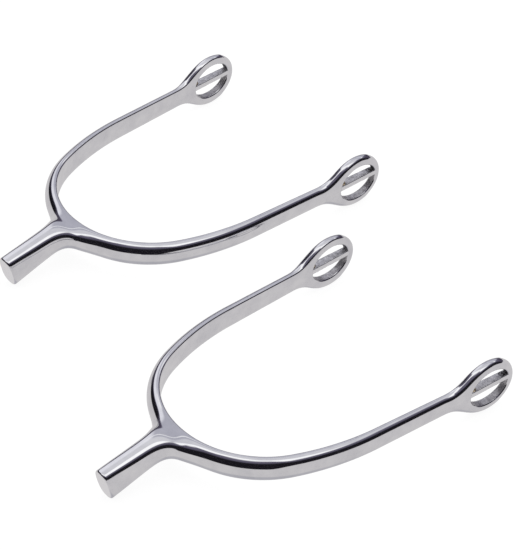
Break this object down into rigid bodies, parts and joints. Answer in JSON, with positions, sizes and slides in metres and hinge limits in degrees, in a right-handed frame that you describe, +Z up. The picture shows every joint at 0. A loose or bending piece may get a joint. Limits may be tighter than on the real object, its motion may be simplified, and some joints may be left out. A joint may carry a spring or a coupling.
{
  "type": "pair of riding spurs",
  "caption": "Pair of polished steel riding spurs: U-shaped heel band, blunt drooping neck and slotted strap loops.",
  "frame": {"origin": "middle of the pair's footprint, on the surface that the spurs lie on", "axes": "+Z up; +X forward, from the front spur's heel to its strap loops; +Y to the wearer's left, from the front spur to the back spur"},
  "size_m": [0.1788, 0.1982, 0.0204],
  "materials": {
    "polished_steel": "mirror-polished stainless steel",
    "cast_steel": "unpolished cast stainless steel",
    "braze_metal": "dull braze filler"
  },
  "bodies": {
    "front_spur": {"front_heel_band": "polished_steel", "front_neck": "polished_steel", "front_left_loop": "polished_steel", "front_left_bar": "cast_steel", "front_left_braze": "braze_metal", "front_right_loop": "polished_steel", "front_right_bar": "cast_steel", "front_right_braze": "braze_metal"},
    "back_spur": {"back_heel_band": "polished_steel", "back_neck": "polished_steel", "back_left_loop": "polished_steel", "back_left_bar": "cast_steel", "back_left_braze": "braze_metal", "back_right_loop": "polished_steel", "back_right_bar": "cast_steel", "back_right_braze": "braze_metal"}
  },
  "joints": [
    {"name": "back_spur_lift", "type": "slide", "parent": "front_spur", "child": "back_spur", "axis": [0, 0, 1], "range_m": [0, 0.1]}
  ]
}
